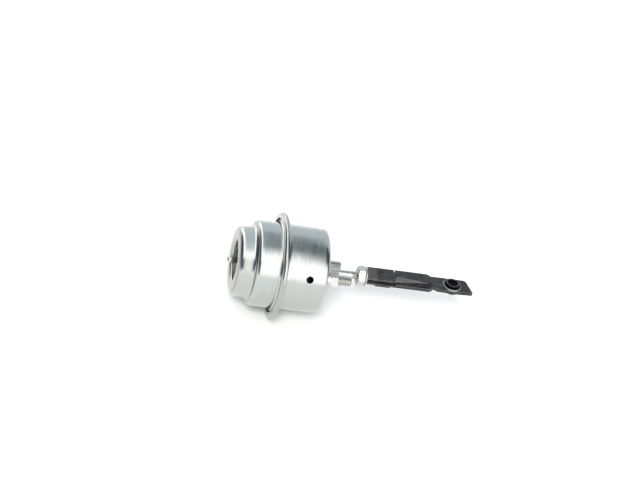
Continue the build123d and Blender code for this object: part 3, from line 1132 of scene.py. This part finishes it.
@dataclass(frozen=True)
class Hardware:
    """Studs, washers, nuts and rod in zinc plate, with M6 and M5 threads."""

    finish: BrightPlating = BrightPlating(
        "hardware_plating", PlatingShade.HARDWARE,
        roughness=0.16, lines_per_metre=4200.0, line_depth=0.000002,
    )
    names: tuple[str, ...] = (
        "stud_washer_front", "stud_washer_rear", "stud_nut_front", "stud_nut_rear", "lock_nut",
    )
    threads: tuple[ThreadedPiece, ...] = (
        *(
            ThreadedPiece(stud, "canister", start=0.0006, end=0.0087, radius=0.003, pitch=0.001)
            for stud in ("stud_front", "stud_rear")
        ),
        ThreadedPiece("rod", "rod_and_link", start=0.0131, end=0.038, radius=0.0025, pitch=0.0008),
    )

    def dress(self, nodes: Nodes) -> None:
        """Gives each fastener its finish and cuts the threads.

        Args:
            nodes: the frame's CAD nodes by name.
        """
        material = self.finish.build()
        dress_nodes(nodes, self.names, material)
        for thread in self.threads:
            piece = thread.build(nodes)
            dress_piece(piece, material)


@dataclass(frozen=True)
class LinkSet:
    """The folded link, its threaded block and its eye bush in black phosphate."""

    finish: BlackPhosphate = BlackPhosphate("black_phosphate", handled_end=(0.0272, 0.0285))
    names: tuple[str, ...] = ("link", "adjuster_block")
    bush: str = "eye_bush"
    # The bush's painted sheen keeps to faces turned most squarely to the front light.
    bush_finish: BlackPhosphate = BlackPhosphate(
        "bush_phosphate", base=(0.006, 0.006, 0.006), dusty=(0.02, 0.02, 0.021),
        worn=(0.55, 0.53, 0.5), wear=0.5, sheen_limits=(0.97, 0.999),
        roughness=(0.18, 0.42), gloss=0.5,
    )
    eye_at: float = 0.0762
    # Painted shade: the eye's collar and bore are laid near black and keep no worn edges.
    bore_shade: TonedRing = TonedRing(
        inner=0.0, outer=0.0052, start=-0.002, end=0.0036, soft=0.0002,
        colour=(0.008, 0.008, 0.008),
    )
    # The flange's rim is paler and metallic: partly wear, partly a painted highlight.
    rim_wear_and_highlight: TonedRing = TonedRing(
        inner=0.0055, outer=0.0062, start=0.0009, end=0.0024, soft=0.0003,
        colour=(0.4, 0.39, 0.38), strength=0.75,
    )

    def dress(self, nodes: Nodes) -> None:
        """Gives the link's pieces their finish.

        Args:
            nodes: the frame's CAD nodes by name.
        """
        dress_nodes(nodes, self.names, self.finish.build())
        rings = tuple(replace(ring, upright_at=self.eye_at) for ring in (self.bore_shade, self.rim_wear_and_highlight))
        dress_nodes(nodes, (self.bush,), replace(self.bush_finish, rings=rings).build())


@dataclass(frozen=True)
class Studio:
    """Pale floor, a surround that the plating mirrors, a soft light and the camera.

    The surround's colour follows the angle round the rod's axis, in degrees from the front up and
    over. Past front_stops it also depends on how far a direction leans along the rod, which is its
    X: dome_stops hold up to band_lean, as the tapered nose mirrors them, and cup_stops past it, as
    the straight walls do. Over turned_lean the colours turn round the rod by turned_by degrees,
    which slants the bands on the cup's crowned wall. end_stops hold as far as end_share says. The
    dark patch stands in front on the dome's side.
    """

    floor_height: float = -0.0327
    floor_size: float = 12.0
    floor_colour: Colour = (0.74, 0.74, 0.73)
    floor_roughness: float = 0.9
    surround_strength: float = 2.2
    front_stops: Stops = (
        (-180, (0.38, 0.42, 0.43)),
        (-20, (0.42, 0.45, 0.45)),
        (-2, (0.52, 0.54, 0.53)),
        (3, (0.58, 0.6, 0.585)),
        (17, (1.0, 1.0, 0.98)),
    )
    cup_stops: Stops = (
        (64, (1.0, 1.0, 0.99)),
        (86, (0.03, 0.042, 0.052)),
        (128, (0.03, 0.042, 0.052)),
        (138, (0.36, 0.4, 0.42)),
        (180, (0.375, 0.41, 0.432)),
    )
    dome_stops: Stops = (
        (58, (1.0, 1.0, 0.99)),
        (82, (0.4, 0.44, 0.47)),
        (115, (0.34, 0.385, 0.41)),
        (180, (0.42, 0.46, 0.475)),
    )
    band_lean: Span = (0.1, 0.25)
    turned_lean: Span = (0.2045, 0.262)
    turned_by: float = 24.0
    end_share: tuple[Span, ...] = ((-1.0, 1.0), (-0.16, 1.0), (-0.07, 0.0), (0.8, 0.0), (0.92, 1.0))
    end_stops: Stops = (
        (-1.0, (0.05, 0.06, 0.065)),
        (-0.6, (0.06, 0.07, 0.075)),
        (-0.5, (0.9, 0.9, 0.9)),
        (-0.1, (1.0, 1.0, 1.0)),
        (0.5, (0.12, 0.13, 0.14)),
        (1.0, (0.06, 0.07, 0.08)),
    )
    dark_patch: Colour = (0.05, 0.065, 0.075)
    dark_patch_lean: tuple[Span, Span] = ((-0.6, -0.5), (-0.13, -0.04))
    dark_patch_degrees: tuple[Span, Span] = ((2.0, 14.0), (40.0, 56.0))
    towards_light: Point = (-0.23, -0.7, 0.68)
    light_strength: float = 3.4
    light_spread_degrees: float = 20.0
    towards_camera: Point = (-0.2045, -0.7919, 0.5754)
    axis_slope_degrees: float = 7.4
    metres_per_pixel: float = 0.00061
    cup_face: Point = (-0.0065, 0.0, 0.0)
    cup_face_pixel: tuple[float, float] = (321.4, 271.0)
    frame_pixels: tuple[int, int] = (640, 480)
    lens: float = 120.0
    sensor: float = 36.0

    def build(self) -> None:
        """Adds the floor, the surround, the light and the camera."""
        self.add_floor()
        self.add_surround()
        self.add_light()
        self.add_camera()
        bpy.context.scene.view_settings.view_transform = "Standard"

    def add_floor(self) -> None:
        """Lays a pale floor."""
        deselect()
        bpy.ops.mesh.primitive_plane_add(size=self.floor_size, location=(0, 0, self.floor_height))
        floor = bpy.context.object
        floor.name = "studio_floor"
        made = NodeMaterial("pale_floor")
        made.shader.inputs["Base Color"].default_value = (*self.floor_colour, 1.0)
        made.shader.inputs["Roughness"].default_value = self.floor_roughness
        made.shader.inputs["Specular IOR Level"].default_value = 0.0
        floor.data.materials.append(made.material)
        log.info("floor at %.3f m", self.floor_height)

    def add_surround(self) -> None:
        """Makes the surround, which changes with the angle round the rod's axis and along it."""
        world = bpy.data.worlds.new("studio_surround")
        bpy.context.scene.world = world
        world.use_nodes = True
        made = NodeWriter(world.node_tree)
        direction = made.tree.nodes.new("ShaderNodeTexCoord").outputs["Generated"]
        lean, depth, height = made.axes(direction)
        angle = made.maths("ARCTAN2", height, made.maths("MULTIPLY", depth, -1.0))
        round_rod = self.round_rod(made, lean, angle)
        ends = made.ramp(lean, self.end_stops, -1.0, 1.0)
        share = made.ramp(lean, tuple((x, (v, v, v)) for x, v in self.end_share), -1.0, 1.0)
        colour = made.mixed(share, round_rod, ends)
        leaning = made.between(lean, *self.dark_patch_lean)
        turned = (tuple(math.radians(d) for d in edge) for edge in self.dark_patch_degrees)
        patch = made.maths("MULTIPLY", leaning, made.between(angle, *turned))
        colour = made.mixed(patch, colour, self.dark_patch)
        background = made.tree.nodes.new("ShaderNodeBackground")
        background.inputs["Strength"].default_value = self.surround_strength
        made.link(colour, background.inputs["Color"])
        output = made.tree.nodes.new("ShaderNodeOutputWorld")
        made.link(background.outputs["Background"], output.inputs["Surface"])

    def round_rod(self, made: NodeWriter, lean: Socket, angle: Socket) -> Socket:
        """The surround's colour round the rod's axis.

        Args:
            made: the surround under construction.
            lean: how far the direction leans along the rod.
            angle: the direction's angle round the rod, in radians.

        Returns:
            The colour.
        """
        turn = made.fitted(lean, *self.turned_lean, 0, math.radians(self.turned_by))
        degrees = made.maths("DEGREES", made.maths("ADD", angle, turn))
        cup = made.ramp(degrees, self.front_stops + self.cup_stops, -180, 180)
        dome = made.ramp(degrees, self.front_stops + self.dome_stops, -180, 180)
        return made.mixed(made.fitted(lean, *self.band_lean, 0, 1), dome, cup)

    def add_light(self) -> None:
        """Hangs a broad soft light above the front, which polished metal doesn't mirror."""
        data = bpy.data.lights.new("front_light", "SUN")
        data.energy = self.light_strength
        data.angle = math.radians(self.light_spread_degrees)
        light = bpy.data.objects.new("front_light", data)
        bpy.context.scene.collection.objects.link(light)
        light.visible_glossy = False
        towards = Vector(self.towards_light)
        light.rotation_euler = towards.to_track_quat("Z", "Y").to_euler()

    def add_camera(self) -> None:
        """Stands the camera where the photograph was taken from."""
        back = Vector(self.towards_camera).normalized()
        along = Vector((1, 0, 0))
        along = (along - along.dot(back) * back).normalized()
        above = back.cross(along)
        slope = math.radians(self.axis_slope_degrees)
        right = math.cos(slope) * along + math.sin(slope) * above
        up = -math.sin(slope) * along + math.cos(slope) * above
        width, height = self.frame_pixels
        across = (width / 2 - self.cup_face_pixel[0]) * self.metres_per_pixel
        rise = (self.cup_face_pixel[1] - height / 2) * self.metres_per_pixel
        target = Vector(self.cup_face) + across * right + rise * up
        distance = self.lens / self.sensor * width * self.metres_per_pixel
        data = bpy.data.cameras.new("photo_camera")
        data.lens = self.lens
        data.sensor_width = self.sensor
        camera = bpy.data.objects.new("photo_camera", data)
        bpy.context.scene.collection.objects.link(camera)
        turn = Matrix((right, up, back)).transposed().to_4x4()
        camera.matrix_world = Matrix.Translation(target + distance * back) @ turn
        bpy.context.scene.camera = camera
        log.info("camera %.2f m away", distance)


def main() -> None:
    """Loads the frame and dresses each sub-assembly."""
    logging.basicConfig(level=logging.INFO, format="%(message)s")
    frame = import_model()
    nodes = frame["nodes"]
    Canister().dress(nodes)
    Hardware().dress(nodes)
    LinkSet().dress(nodes)
    Studio().build()


if __name__ == "__main__":
    main()
